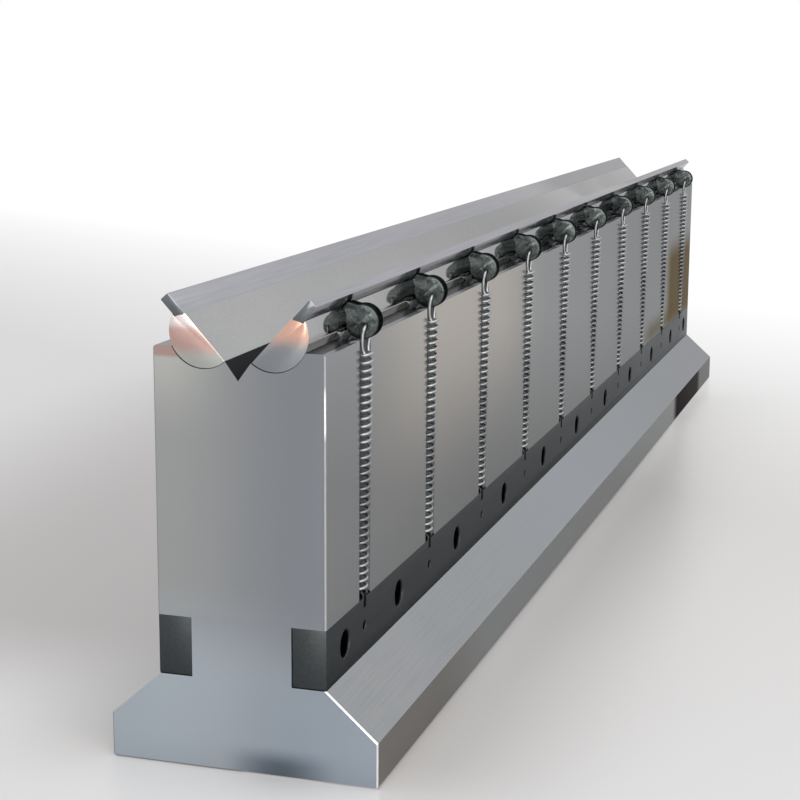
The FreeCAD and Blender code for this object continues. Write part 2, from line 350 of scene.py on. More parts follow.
# Surface-ground tool steel: near mirror, with fine lines along the die. Most of its tints are painted light. Painted
# reflections shade the ends from light to dark and darken the foot's sides, and painted brown and black reflections
# sit at the far end. The shoulder tops and spring slots are painted lighter, the relief carries a painted shadow, and
# the broken edges carry painted highlights.
GROUND_STEEL = SteelFinish(
    "surface_ground_tool_steel",
    "#a3a5a7",
    "#999c9f",
    0.13,
    0.03,
    edge_gloss=0.5,
    tints=(
        # Painted reflections on the end faces: lighter at the upper left, darker at the right, bluish on the foot,
        # with a dark painted reflection low at the right.
        Tint("#a6a9a9", 0.8, x=(None, 2.0, 20.0), z=(34.0, None, 1.0), axis=1),
        Tint("#c2c5c0", 0.75, x=(None, -8.0, 9.0), z=(80.0, None, 10.0), axis=1),
        Tint("#7f858d", 0.75, x=(0.0, None, 16.0), z=(20.0, None, 12.0), axis=1),
        Tint("#b4bec8", 0.9, x=(None, 4.0, 24.0), z=(None, 30.0, 12.0), axis=1),
        Tint("#9aa6b2", 0.8, x=(4.0, None, 10.0), z=(None, 22.0, 8.0), axis=1),
        Tint("#56606d", 0.85, x=(1.0, 16.0, 7.0), z=(None, 4.6, 2.4), axis=1),
        # Painted warm reflection on the left shoulder's end face.
        Tint("#ac8680", 0.75, x=(None, -12.0, 1.5), z=(88.2, None, 0.5), axis=1),
        Tint("#a7a9ab", 0.9, axis=0),
        # Painted reflections on the sides: darker toward the far end, with a dimmer gloss, and a warm painted
        # reflection high near the front.
        Tint("#9fa1a3", 0.9, y=(60.0, None, 130.0), axis=0, gloss="#aaaaaa"),
        Tint("#d0c9c1", 0.9, y=(-205.0, -80.0, 35.0), z=(58.0, None, 20.0), axis=0),
        # Painted brown reflections low at the far end of the sides, laid into the gloss colour as well.
        Tint("#a19f9c", 0.93, y=(135.0, None, 14.0), z=(33.0, 39.0, 5.0), axis=0, gloss="#86806c"),
        Tint("#a19b95", 0.93, y=(188.0, None, 9.0), z=(33.0, 66.0, 6.0), axis=0, gloss="#7b6d56"),
        # Painted reflections on the foot's sides: a darker band, lighter toward the middle, grey at the far end and a
        # dark painted reflection before it.
        Tint("#a29f9a", 0.9, z=(None, 10.05, 0.05), axis=0),
        Tint("#bfc3c6", 0.9, y=(-180.0, None, 30.0), z=(None, 10.05, 0.05), axis=0, gloss="#b8b8b8"),
        Tint("#8f8f8f", 0.9, y=(214.0, None, 8.0), z=(None, 10.05, 0.05), axis=0, gloss="#959595"),
        Tint("#7b7876", 0.95, y=(145.0, 214.0, 6.0), z=(None, 10.05, 0.05), axis=0, gloss="#322e2d"),
        # Painted lighter reflection on the foot's slopes toward the far end.
        Tint("#b1b5ba", 0.9, y=(-120.0, None, 130.0), axis=2, facing=(0.5, 0.85)),
        # Painted lighter tops of the shoulders, with a rougher finish.
        Tint("#b4b3b1", 0.8, z=(90.0, None, 0.1), axis=2, roughness=0.2),
        # Spring slot walls painted lighter, as painted light in the shaded slots, with a rough finish.
        Tint("#9a9ea2", 1.0, y=(-245.0, 245.0, 1.0), z=(33.4, 90.0, 0.2), axis=1, roughness=0.6, gloss="#aaaaaa"),
        # Painted near-black shadow on the relief between the rollers.
        Tint("#121516", 0.92, x=(-3.0, 3.0, 0.1), z=(83.0, 89.0, 0.2), axis=1, facing=(-1.0, 0.5), roughness=0.5),
        # Painted highlights on the broken edges: faint everywhere, strong on the seat edges, the right upright edge
        # and the right foot's edges.
        Tint("#e0e0de", 0.2, axis=1, facing=(0.3, 0.9)),
        Tint("#d3d6d4", 1.0, x=(-16.5, 16.5, 1.0), z=(84.0, 99.0, 1.0), axis=1, facing=(0.3, 0.9),
             roughness=0.5, gloss="#f3f3f3"),
        Tint("#ffffff", 0.9, x=(0.0, None, 1.0), z=(73.5, 83.0, 1.5), axis=1, facing=(0.3, 0.9)),
        Tint("#ffffff", 0.8, x=(0.0, None, 1.0), z=(None, 20.5, 1.0), axis=1, facing=(0.3, 0.9)),
    ),
)
# Centreless-ground and polished bar. Its ends carry painted reflections: lighter on the left roller and darker on the
# right, with painted straw and copper warm reflections high on them.
POLISHED_BAR = SteelFinish(
    "polished_ground_bar",
    "#b2b2b2",
    "#a6a7a8",
    0.08,
    0.02,
    grind_along=(1.0, 1.0, 0.05),
    grind_depth=0.02,
    tints=(
        # Painted reflections on the roller ends: the left lighter and the right darker, then painted warm reflections
        # near the top.
        Tint("#b6b9b4", 0.9, x=(None, 0.0, 1.0), axis=1, roughness=0.2),
        Tint("#8a9095", 0.9, x=(0.0, None, 1.0), axis=1, roughness=0.2),
        Tint("#c09890", 0.8, x=(None, 0.0, 1.0), z=(89.5, 95.0, 1.5), axis=1),
        Tint("#d8a690", 0.8, x=(0.0, None, 1.0), z=(92.4, None, 2.0), axis=1),
        Tint("#e2d6d6", 0.85, x=(None, 0.0, 1.0), z=(94.6, None, 1.0), axis=1),
    ),
)
# Ground spring-steel strip: satin, a little violet, with dark sheared ends.
WING_STEEL = SteelFinish(
    "satin_ground_strip",
    "#adadb3",
    "#a0a1a8",
    0.2,
    grind_depth=0.04,
    edge_gloss=0.7,
    tints=(Tint("#5c6264", 0.85, axis=1),),
)
# Black oxide on a milled bar: near black with a dull sheen.
BLACKENED_BAR = SteelFinish(
    "black_oxide_milled_bar",
    "#464a4c",
    "#3b4042",
    0.36,
    grind_spacing=0.7,
    grind_depth=0.06,
    edge_gloss=0.62,
)
# Black oxide on turned screws.
BLACK_SCREW = SteelFinish("black_oxide_screw", "#131415", "#0c0d0d", 0.4, blotch_size=6.0, edge_gloss=0.1)
# Hardened, blackened and tumbled forgings: satin, dented, with a green-grey cast.
LEVER_STEEL = SteelFinish(
    "tumbled_blackened_lever_steel",
    "#636a6a",
    "#383e3f",
    0.3,
    0.05,
    grind_spacing=0.6,
    blotch_size=2.2,
    dent_size=1.9,
    dent_depth=0.2,
)
# The same steel, darker, on the levers' sides and rounded edges: painted shade that gives the levers their dark
# outline.
LEVER_EDGE = SteelFinish("black_lever_edge", "#3a4140", "#2a3030", 0.36, blotch_size=3.0, edge_gloss=0.2)
# Bright drawn spring wire, with painted shade: greyer around the middle of the coil, and near black on the lower hook
# where it sits in the strip.
SPRING_WIRE = SteelFinish(
    "bright_drawn_wire",
    "#b6b9ba",
    "#9fa3a5",
    0.48,
    0.05,
    grind_spacing=0.3,
    blotch_size=4.0,
    tints=(
        # Painted shade: the coil greyer around its middle, and the lower hook near black with a dim gloss.
        Tint("#7c8083", 0.85, z=(42.0, 64.0, 7.0)),
        Tint("#2c2f30", 0.93, z=(None, 34.2, 0.4), roughness=0.45, gloss="#595959"),
    ),
)
# Dowel steel painted near black, as painted shade for the dark holes that the anchor pins sit in; the hook liners
# share it.
PIN_STEEL = SteelFinish("ground_dowel_steel", "#1d1f20", "#151617", 0.35, blotch_size=4.0, edge_gloss=0.2)


@dataclass(frozen=True)
class Dressing:
    """A built finish, the record slot that it belongs to, and the finish of its rounded edges if that differs."""

    material: Material
    slot: str
    edge: Optional[Material] = None


# ---------------------------------------------------------------- modelling helpers


def deselect() -> None:
    """Leaves nothing selected."""
    if bpy.context.mode != "OBJECT":
        leave_edit()
    bpy.ops.object.select_all(action="DESELECT")


def take(piece: Piece) -> None:
    """Makes one object the only selected and the active one."""
    deselect()
    piece.select_set(True)
    bpy.context.view_layer.objects.active = piece


def apply_place(piece: Piece) -> None:
    """Moves an object's place, turn and size into its mesh."""
    take(piece)
    bpy.ops.object.transform_apply(location=True, rotation=True, scale=True)


def modify(piece: Piece, kind: str, **settings) -> None:
    """Adds a modifier with its settings and applies it.

    Args:
        piece: the object.
        kind: the modifier's type.
        **settings: the modifier's own attributes.
    """
    take(piece)
    modifier = piece.modifiers.new(kind.lower(), kind)
    for key, value in settings.items():
        setattr(modifier, key, value)
    bpy.ops.object.modifier_apply(modifier=modifier.name)


def block(name: str, low: Vector, high: Vector) -> Piece:
    """A box between two corners, with its place in its mesh."""
    deselect()
    bpy.ops.mesh.primitive_cube_add(size=1.0, location=(low + high) / 2.0, scale=high - low)
    piece = bpy.context.active_object
    piece.name = name
    apply_place(piece)
    return piece


def round_bar(name: str, radius: float, start: Vector, end: Vector, sides: int) -> Piece:
    """A round bar from start to end, with its place in its mesh."""
    deselect()
    along = end - start
    bpy.ops.mesh.primitive_cylinder_add(vertices=sides, radius=radius, depth=along.length)
    piece = bpy.context.active_object
    piece.name = name
    turn = along.to_track_quat("Z", "Y").to_matrix().to_4x4()
    piece.matrix_world = Matrix.Translation((start + end) / 2.0) @ turn
    apply_place(piece)
    return piece


def discard(*pieces: Piece) -> None:
    """Removes shapes that are no longer needed."""
    for piece in pieces:
        bpy.data.objects.remove(piece, do_unlink=True)


def edit(piece: Piece, action: str) -> None:
    """Opens one piece in edit mode with all of it selected, or none of it."""
    take(piece)
    bpy.ops.object.mode_set(mode="EDIT")
    bpy.ops.mesh.select_all(action=action)


def leave_edit() -> None:
    """Goes back to object mode."""
    bpy.ops.object.mode_set(mode="OBJECT")


def cut(piece: Piece, tool: Piece, operation: str = "DIFFERENCE") -> None:
    """Cuts, joins or trims a piece with a tool, and removes the tool."""
    modify(piece, "BOOLEAN", object=tool, operation=operation, solver="EXACT")
    discard(tool)


def merged(name: str, parts: Sequence[Piece]) -> Piece:
    """Joins several objects into one."""
    deselect()
    for part in parts:
        part.select_set(True)
    bpy.context.view_layer.objects.active = parts[0]
    bpy.ops.object.join()
    piece = bpy.context.active_object
    piece.name = name
    return piece


def slide(piece: Piece, chosen: Callable[[Vector], bool], step: Vector) -> None:
    """Moves some of a piece's vertices.

    Args:
        piece: the piece.
        chosen: says whether the vertex at a place moves.
        step: how far they move.
    """
    edit(piece, "DESELECT")
    leave_edit()
    for vertex in piece.data.vertices:
        vertex.select = chosen(vertex.co)
    bpy.ops.object.mode_set(mode="EDIT")
    bpy.ops.transform.translate(value=step)
    leave_edit()


def soften(piece: Piece, width: float, segments: int = 2, angle: float = 35.0, finish: int = -1) -> None:
    """Breaks the sharp edges and shades the rest smoothly.

    Args:
        piece: the piece.
        width: how far each edge is broken back.
        segments: steps across the broken edge.
        angle: edges sharper than this many degrees are broken.
        finish: material number of the broken edges, or -1 for their neighbours' own.
    """
    while finish >= len(piece.data.materials):
        piece.data.materials.append(None)
    modify(
        piece,
        "BEVEL",
        width=width,
        segments=segments,
        limit_method="ANGLE",
        angle_limit=math.radians(angle),
        miter_outer="MITER_ARC",
        material=finish,
    )
    shade(piece, angle)


def shade(piece: Piece, angle: float = 35.0) -> None:
    """Shades smoothly over edges flatter than an angle in degrees."""
    take(piece)
    bpy.ops.object.shade_smooth_by_angle(angle=math.radians(angle))


def copy_of(piece: Piece, name: str, move: Matrix) -> Piece:
    """A copy with its own mesh, moved in the mesh.

    Args:
        piece: what is copied.
        name: the copy's name.
        move: where it goes, from the piece's own place.

    Returns:
        The copy.
    """
    twin = bpy.data.objects.new(name, piece.data.copy())
    bpy.context.scene.collection.objects.link(twin)
    twin.data.transform(move)
    twin.data.update()
    return twin


def placed(piece: Piece, name: str, move: Matrix) -> Piece:
    """A moved copy in place of a shape."""
    twin = copy_of(piece, name, move)
    discard(piece)
    return twin


def dress(piece: Piece, dressing: Dressing, body: str, *nodes: str) -> Piece:
    """Gives a finished piece its material, body and the nodes that it stands for.

    Args:
        piece: the finished piece.
        dressing: its finish.
        body: the body that it rides on.
        *nodes: CAD nodes that it replaces.

    Returns:
        The same piece.
    """
    faces = [face.material_index for face in piece.data.polygons]
    piece.data.materials.clear()
    piece.data.materials.append(dressing.material)
    if dressing.edge:
        piece.data.materials.append(dressing.edge)
        piece.data.polygons.foreach_set("material_index", faces)
    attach(piece, body)
    if nodes:
        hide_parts(*nodes)
    return piece


def side_turn(side: Side) -> Matrix:
    """Half a turn about the upright axis for the left side, and none for the right."""
    return Matrix.Rotation(0.0 if side is Side.RIGHT else math.pi, 4, "Z")


# ---------------------------------------------------------------- die body


@dataclass
class DieBody:
    """The tall ground body with its foot and roller seats, kept as the CAD made it."""

    dressing: Dressing

    def build(self) -> None:
        """Dresses the body's own node."""
        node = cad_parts["die_body"]
        node.data.materials.clear()
        node.data.materials.append(self.dressing.material)
        LOG.info("die body dressed")


# ---------------------------------------------------------------- rollers


@dataclass
class RollerSet:
    """One half-round roller with its wing, levers and the liners of their cross holes.

    The sizes are in the roller's own level frame: X out from its axis, Z up from its axis. ``pin_a`` and ``pin_b``
    place the cross hole, and the ``_break`` sizes say how far each piece's edges are broken back.
    """

    side: Side
    steel: Dressing
    wing: Dressing
    lever: Dressing
    pin: Dressing
    radius: float = 7.5
    axis_x: float = 7.65
    axis_z: float = 93.55
    flat_drop: float = 0.4
    closed_angle: float = 47.5
    half_length: float = 249.8
    roller_sides: int = 128
    roller_break: float = 0.15
    seat_gap: float = 0.03
    slot_gap: float = 0.05
    wing_top: float = -0.5
    wing_thickness: float = 2.15
    wing_tip: float = 10.85
    wing_root_top: float = 4.9
    wing_root_bottom: float = 6.3
    wing_break: float = 0.2
    nose: tuple[float, float] = (7.45, -7.95)
    nose_radius: float = 3.75
    nose_sides: int = 64
    neck_back: float = 4.35
    slot_back: float = 4.29
    lever_width: float = 3.6
    lever_break: float = 0.4
    neck_top: float = -2.72
    neck_tip: float = 8.4
    neck_inset: float = 0.02
    pin_a: float = 7.45
    pin_b: float = -9.1
    pin_radius: float = 0.6
    hole_reach: float = 5.0
    liner_inset: float = 0.12
    liner_gap: float = 0.01
    liner_wall: float = 0.17

    def placement(self) -> Matrix:
        """From the roller's own level frame to the closed V on this side."""
        turn = Matrix.Rotation(math.radians(-self.closed_angle), 4, "Y")
        shift = Matrix.Translation(point(self.axis_x, 0.0, self.axis_z))
        return side_turn(self.side) @ shift @ turn

    def build(self) -> None:
        """Makes and dresses every piece that rides on this roller."""
        place = self.placement()
        self._roller(place)
        self._wing(place)
        self._levers(place)
        LOG.info("%s roller, wing and levers built", self.side.word)

    def _roller(self, place: Matrix) -> None:
        """The half-round bar with its flat, the seat for the wing and the lever slots."""
        end = self.half_length
        bar = round_bar("bar", mm(self.radius), point(0, -end, 0), point(0, end, 0), self.roller_sides)
        big = self.radius + 2.0 * OVER
        past = end + OVER
        cut(bar, block("flat", point(-big, -past, -self.flat_drop), point(big, past, big)))
        shelf = self.wing_top - self.wing_thickness - self.seat_gap
        seat = block("seat", point(self.wing_root_top, -past, shelf), point(big, past, OVER))
        self._slant(seat, shelf)
        cut(bar, seat)
        slots = []
        half = self.lever_width / 2.0 + self.slot_gap
        for y in station_places():
            low = point(self.slot_back, y - half, -self.radius - OVER)
            slots.append(block("slot", low, point(big, y + half, shelf)))
        cut(bar, merged("slots", slots))
        soften(bar, mm(self.roller_break))
        roller = placed(bar, f"ground_roller_{self.side.word}", place)
        dress(roller, self.steel, self.side.body, f"roller_{self.side.word}")

    def _slant(self, piece: Piece, floor: float) -> None:
        """Leans the inner face of a wing or its seat, as a dovetail does."""
        top, right = mm(floor) + HAIR, mm(self.wing_root_top) + HAIR
        step = point(self.wing_root_bottom - self.wing_root_top, 0, 0)
        slide(piece, lambda place: place.z < top and place.x < right, step)

    def _wing(self, place: Matrix) -> None:
        """The flat bar along the roller's outer edge."""
        end = self.half_length
        bottom = self.wing_top - self.wing_thickness
        bar = block("wing_bar", point(self.wing_root_top, -end, bottom), point(self.wing_tip, end, self.wing_top))
        self._slant(bar, bottom)
        soften(bar, mm(self.wing_break))
        wing = placed(bar, f"ground_wing_{self.side.word}", place)
        dress(wing, self.wing, self.side.body, f"wing_{self.side.word}")

    def _lever_shape(self) -> Piece:
        """One hook lever, level, at the middle of the die: a neck from the wing and a round nose with a cross hole."""
        half = self.lever_width / 2.0
        out, up = self.nose
        lever = round_bar("nose", mm(self.nose_radius), point(out, -half, up), point(out, half, up), self.nose_sides)
        soften(lever, mm(self.lever_break), 3, finish=1)
        neck = block("neck", point(self.neck_back, -half, up), point(self.neck_tip, half, self.neck_top))
        flush = out + self.nose_radius - self.neck_inset
        slide(neck, lambda place: place.z < mm(up) + HAIR and place.x > mm(out), point(flush - self.neck_tip, 0, 0))
        soften(neck, mm(self.lever_break), 3, finish=1)
        cut(lever, neck, "UNION")
        # Faces that don't face along the die take the darker finish, as painted shade for the dark outline.
        for face in lever.data.polygons:
            face.material_index = 0 if abs(face.normal.y) > 0.8 else 1
        ends = [point(self.pin_a, way * self.hole_reach, self.pin_b) for way in (-1, 1)]
        cut(lever, round_bar("hole", mm(self.pin_radius), *ends, SMALL_SIDES))
        shade(lever)
        return lever

    def _liner(self) -> Piece:
        """The hard liner in the nose's cross hole, which takes the wear of the spring's loop."""
        half = self.lever_width / 2.0 - self.liner_inset
        start, end = (point(self.pin_a, way * half, self.pin_b) for way in (-1, 1))
        liner = round_bar("liner", mm(self.pin_radius - self.liner_gap), start, end, SMALL_SIDES)
        reach = point(0, OVER, 0)
        bore = mm(self.pin_radius - self.liner_wall)
        cut(liner, round_bar("bore", bore, start - reach, end + reach, SMALL_SIDES))
        shade(liner)
        return liner

    def _levers(self, place: Matrix) -> None:
        """Ten levers and the liners of their cross holes."""
        shape = self._lever_shape()
        liner = self._liner()
        liners = []
        for index, y in enumerate(station_places(), start=1):
            along = Matrix.Translation(point(0, y, 0))
            move = along @ place
            name = f"lever_{self.side.word}_{index:02d}"
            lever = copy_of(shape, f"hook_{name}", move)
            dress(lever, self.lever, self.side.body, name)
            liners.append(copy_of(liner, f"liner_{index}", move))
        discard(shape, liner)
        row = merged(f"hook_liners_{self.side.word}", liners)
        dress(row, self.pin, self.side.body, f"hook_pins_{self.side.word}")


# ---------------------------------------------------------------- springs


@dataclass
class SpringRow:
    """Ten extension springs on one side, each wound from round wire with a loop above and a hook below."""

    side: Side
    wire: Dressing
    roller: RollerSet
    wire_radius: float = 0.35
    coil_radius: float = 1.65
    coil_bottom: float = 33.8
    coil_top: float = 86.9
    turns: int = 31
    steps: int = 20
    wire_sides: int = 8
    slack: float = 0.25
    loop_half: float = 2.4
    nose_gap: float = 0.2
    hook_bend: float = 0.45
    eye_turn: float = 300.0
    eye_overlap: float = 0.07
    line_top: Vector = field(default_factory=lambda: Vector((18.75, 0.0, 92.65)))
    anchor_x: float = 17.25
    anchor_z: float = 26.5
    anchor_radius: float = 1.0

    def pin_at(self, angle: float) -> Vector:
        """The cross hole's centre in millimetres, with the roller turned open by an angle in degrees."""
        turn = math.radians(self.roller.closed_angle - angle)
        a, b = self.roller.pin_a, self.roller.pin_b
        x = self.roller.axis_x + a * math.cos(turn) - b * math.sin(turn)
        z = self.roller.axis_z + a * math.sin(turn) + b * math.cos(turn)
        return Vector((x, 0.0, z))

    def build(self) -> None:
        """Makes one spring, and copies it to each station."""
        upper = self.pin_at(0.0)
        lower = Vector((self.anchor_x, 0.0, self.anchor_z + self.slack))
        line = self.line_top - lower
        axis = line.normalized()
        lean = Matrix.Rotation(math.atan2(axis.x, axis.z), 4, "Y")
        shape = self._spring_shape(lean.inverted() @ (upper - lower), lower, axis)
        stand = side_turn(self.side) @ Matrix.Translation(point(*lower)) @ lean
        for index, y in enumerate(station_places(), start=1):
            name = f"spring_{self.side.word}_{index:02d}"
            spring = copy_of(shape, f"coil_{name}", Matrix.Translation(point(0, y, 0)) @ stand)
            dress(spring, self.wire, "die", name)
            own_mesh(spring)
        discard(shape)
        LOG.info("%s springs built", self.side.word)

    def _spring_shape(self, pin: Vector, lower: Vector, axis: Vector) -> Piece:
        """One upright spring with its lower eye's centre at the origin.

        Args:
            pin: the nose's cross hole, seen from the lower eye along the spring.
            lower: the lower eye's centre in the die.
            axis: which way the spring stands in the die.

        Returns:
            The spring as one closed wire form.
        """
        low, high = (self.coil_bottom - lower.z) / axis.z, (self.coil_top - lower.z) / axis.z
        coil = self._coil(low, high)
        top = self._loop(high, pin)
        bottom = self._hook("low_hook", -low, 0.0, self.anchor_radius + self.slack)
        take(bottom)
        bottom.rotation_euler = (math.pi, 0.0, 0.0)
        apply_place(bottom)
        bottom.rotation_euler = (0.0, 0.0, math.pi / 2.0)
        apply_place(bottom)
        spring = merged("spring", [coil, top, bottom])
        edit(spring, "SELECT")
        bpy.ops.mesh.normals_make_consistent(inside=False)
        leave_edit()
        shade(spring, 60.0)
        return spring

    def _loop(self, start: float, pin: Vector) -> Piece:
        """The top loop: up past the nose's near face, through its cross hole and down its far face.

        Args:
            start: height of the coil's end on the axis, in millimetres.
            pin: where the cross hole is, in millimetres.

        Returns:
            The loop, as a closed wire.
        """
        side = self.loop_half
        under = pin.z - self.roller.nose_radius - self.nose_gap
        route = [
            (0.5, -self.coil_radius, start - 0.1),
            (0.1, -self.coil_radius - 0.1, start + 0.6),
            (0.1, -side, under),
            (pin.x * 0.4, -side, pin.z - 1.8),
            (pin.x, -side, pin.z - 0.3),
            (pin.x, -side + 0.9, pin.z + 0.1),
            (pin.x, 0.0, pin.z),
            (pin.x, side - 0.9, pin.z + 0.1),
            (pin.x, side, pin.z - 0.3),
            (pin.x * 0.4, side, pin.z - 1.8),
            (0.1, side, under),
            (0.1, self.coil_radius + 0.1, start + 0.8),
            (0.3, self.coil_radius, start + 0.1),
        ]
        data = bpy.data.curves.new("loop", "CURVE")
        data.dimensions = "3D"
        line = data.splines.new("NURBS")
        line.points.add(len(route) - 1)
        for knot, place in zip(line.points, route):
            knot.co = (*(mm(value) for value in place), 1.0)
        line.order_u = 3
        line.use_endpoint_u = True
        line.resolution_u = 5
        data.bevel_depth = mm(self.wire_radius)
        data.bevel_resolution = 2
        data.use_fill_caps = True
        loop = bpy.data.objects.new("top_loop", data)
        bpy.context.scene.collection.objects.link(loop)
        take(loop)
        bpy.ops.object.convert(target="MESH")
        return bpy.context.active_object

    def _coil(self, low: float, high: float) -> Piece:
        """The wound part, by a screw from one round of wire."""
        coil = self._wire_end("coil", low)
        modify(
            coil,
            "SCREW",
            axis="Z",
            angle=2.0 * math.pi,
            screw_offset=mm((high - low) / self.turns),
            iterations=self.turns,
            steps=self.steps,
            render_steps=self.steps,
            use_merge_vertices=False,
        )
        self._close_ends(coil)
        return coil

    def _wire_end(self, name: str, height: float) -> Piece:
        """A round of wire on the coil's radius at a height in millimetres, from which the wire is drawn out."""
        deselect()
        bpy.ops.mesh.primitive_circle_add(
            vertices=self.wire_sides,
            radius=mm(self.wire_radius),
            location=point(self.coil_radius, 0, height),
            rotation=(math.pi / 2.0, 0, 0),
        )
        ring = bpy.context.active_object
        ring.name = name
        apply_place(ring)
        return ring

    def _close_ends(self, wire: Piece) -> None:
        """Fills the open ends of a wire."""
        edit(wire, "DESELECT")
        bpy.ops.mesh.select_mode(type="EDGE")
        bpy.ops.mesh.select_non_manifold()
        bpy.ops.mesh.edge_face_add()
        bpy.ops.mesh.select_mode(type="VERT")
        leave_edit()

    def _hook(self, name: str, start: float, centre: float, inner: float) -> Piece:
        """A hook that leaves the coil's end, runs up the spring's axis and closes in an eye.

        Args:
            name: the hook's name.
            start: height of the coil's end on the axis, in millimetres.
            centre: height of the eye's centre, in millimetres.
            inner: the eye's inner radius, in millimetres.

        Returns:
            The hook, as a closed wire.
        """
        bend = self.hook_bend
        eye = inner + self.wire_radius
        wire = self._wire_end(name, start)
        edit(wire, "SELECT")
        self._run(point(0, bend, 0))
        self._bend(math.pi, point(self.coil_radius / 2.0, bend, start), (0, 0, 1), 10)
        self._bend(-math.pi / 2.0, point(0, bend, start + bend), (1, 0, 0), 5)
        top = centre - eye - bend + self.eye_overlap
        self._run(point(0, 0, top - start - bend))
        self._bend(math.pi / 2.0, point(bend, 0, top), (0, 1, 0), 5)
        self._bend(-math.radians(self.eye_turn), point(0, 0, centre), (0, 1, 0), 22)
        leave_edit()
        self._close_ends(wire)
        return wire

    def _run(self, step: Vector) -> None:
        """Draws the selected round of wire out in a straight line."""
        bpy.ops.mesh.extrude_region_move(TRANSFORM_OT_translate={"value": step})

    def _bend(self, angle: float, centre: Vector, axis: tuple[float, float, float], steps: int) -> None:
        """Draws the selected round of wire out along an arc."""
        bpy.ops.mesh.spin(
            steps=steps, angle=angle, center=centre, axis=axis, use_auto_merge=False, use_normal_flip=False
        )


# ---------------------------------------------------------------- anchor strips


@dataclass
class AnchorStrip:
    """A dark bar let into the side, with its screws and the pins that hold the springs."""

    side: Side
    bar: Dressing
    screw: Dressing
    pin: Dressing
    inner_x: float = 11.2
    outer_x: float = 18.75
    half_length: float = 249.8
    bottom: float = 20.05
    top: float = 32.95
    middle: float = 26.5
    bar_break: float = 0.2
    notch_depth: float = 4.4
    notch_half: float = 1.0
    notch_bottom: float = 30.7
    hook_slot_low: tuple[float, float] = (16.0, 24.0)
    hook_slot_high: tuple[float, float] = (17.9, 31.0)
    hook_slot_half: float = 2.3
    bore_radius: float = 3.0
    bore_depth: float = 3.4
    bore_sides: int = 48
    mouth_break: float = 0.25
    head_radius: float = 2.75
    head_height: float = 3.0
    head_break: float = 0.35
    socket: float = 2.5
    socket_depth: float = 1.5
    pin_radius: float = 1.0
    pin_gap: float = 0.02
    pin_end: float = 12.05
    pin_hole_end: float = 13.0
    pin_recess: float = 0.3
    pin_break: float = 0.2

    def build(self) -> None:
        """Makes the bar, its screws and its pins."""
        turn = side_turn(self.side)
        word = self.side.word
        bar = self._bar()
        dress(placed(bar, f"blackened_strip_{word}", turn), self.bar, "die", f"anchor_strip_{word}")
        screws = self._row(self._screw(), screw_places(), f"socket_screws_{word}", turn)
        dress(screws, self.screw, "die", f"strip_screws_{word}")
        pins = self._row(self._pin(), station_places(), f"dowel_pins_{word}", turn)
        dress(pins, self.pin, "die", f"anchor_pins_{word}")
        LOG.info("%s anchor strip built", word)

    def _row(self, shape: Piece, places: Iterable[float], name: str, turn: Matrix) -> Piece:
        """Copies of a shape along the die, joined."""
        moves = [turn @ Matrix.Translation(point(0, y, 0)) for y in places]
        parts = [copy_of(shape, f"{name}_{k}", move) for k, move in enumerate(moves)]
        discard(shape)
        return merged(name, parts)

    def _bar(self) -> Piece:
        """The bar with its counterbores, spring notches and hook slots."""
        end = self.half_length
        bar = block("strip", point(self.inner_x, -end, self.bottom), point(self.outer_x, end, self.top))
        soften(bar, mm(self.bar_break))
        low = (self.outer_x - self.notch_depth, self.notch_bottom)
        high = (self.outer_x + OVER, self.top + OVER)
        cut(bar, self._pockets("notch", low, high, self.notch_half))
        bore = self._drill(self.bore_radius, self.bore_depth, self.bore_sides)
        cut(bar, self._row(bore, screw_places(), "bores", Matrix()))
        hole = self._drill(self.pin_radius, self.outer_x - self.pin_hole_end, SMALL_SIDES)
        cut(bar, self._row(hole, station_places(), "holes", Matrix()))
        cut(bar, self._pockets("hook", self.hook_slot_low, self.hook_slot_high, self.hook_slot_half))
        shade(bar)
        return bar

    def _pockets(self, name: str, low: tuple[float, float], high: tuple[float, float], half: float) -> Piece:
        """Square cutters at the stations, between two corners across the die and half as wide along it as given."""
        corners = [(point(low[0], y - half, low[1]), point(high[0], y + half, high[1])) for y in station_places()]
        return merged(name, [block(name, *pair) for pair in corners])

    def _drill(self, radius: float, depth: float, sides: int) -> Piece:
        """A round cutter with a flare that breaks the mouth of the hole."""
        tool = self._bar_along("drill", radius, self.outer_x - depth, self.outer_x, sides)
        edit(tool, "DESELECT")
        leave_edit()
        for face in tool.data.polygons:
            face.select = face.normal.x > 0.9
        bpy.ops.object.mode_set(mode="EDIT")
        bpy.ops.mesh.select_mode(type="FACE")
        flare = 2.0 * self.mouth_break
        bpy.ops.transform.translate(value=(mm(-self.mouth_break), 0, 0))
        bpy.ops.mesh.extrude_region_move(TRANSFORM_OT_translate={"value": (mm(flare), 0, 0)})
        scale = (radius + flare) / radius
        bpy.ops.transform.resize(value=(1.0, scale, scale), center_override=point(0, 0, self.middle))
        bpy.ops.mesh.select_mode(type="VERT")
        leave_edit()
        return tool

    def _bar_along(self, name: str, radius: float, inner: float, outer: float, sides: int) -> Piece:
        """A round bar across the strip at its middle height, between two distances from the die's middle."""
        return round_bar(name, mm(radius), point(inner, 0, self.middle), point(outer, 0, self.middle), sides)

    def _screw(self) -> Piece:
        """One socket head cap screw."""
        head_in = self.outer_x - self.bore_depth
        head_out = head_in + self.head_height
        head = self._bar_along("head", self.head_radius, head_in, head_out, self.bore_sides)
        soften(head, mm(self.head_break), 3)
        width = self.socket / 2.0 / math.cos(math.pi / 6.0)
        cut(head, self._bar_along("socket", width, head_out - self.socket_depth, head_out + OVER, 6))
        shade(head)
        return head

    def _pin(self) -> Piece:
        """One dowel pin with a broken edge."""
        outer = self.outer_x - self.pin_recess
        pin = self._bar_along("dowel", self.pin_radius - self.pin_gap, self.pin_end, outer, SMALL_SIDES)
        soften(pin, mm(self.pin_break))
        return pin


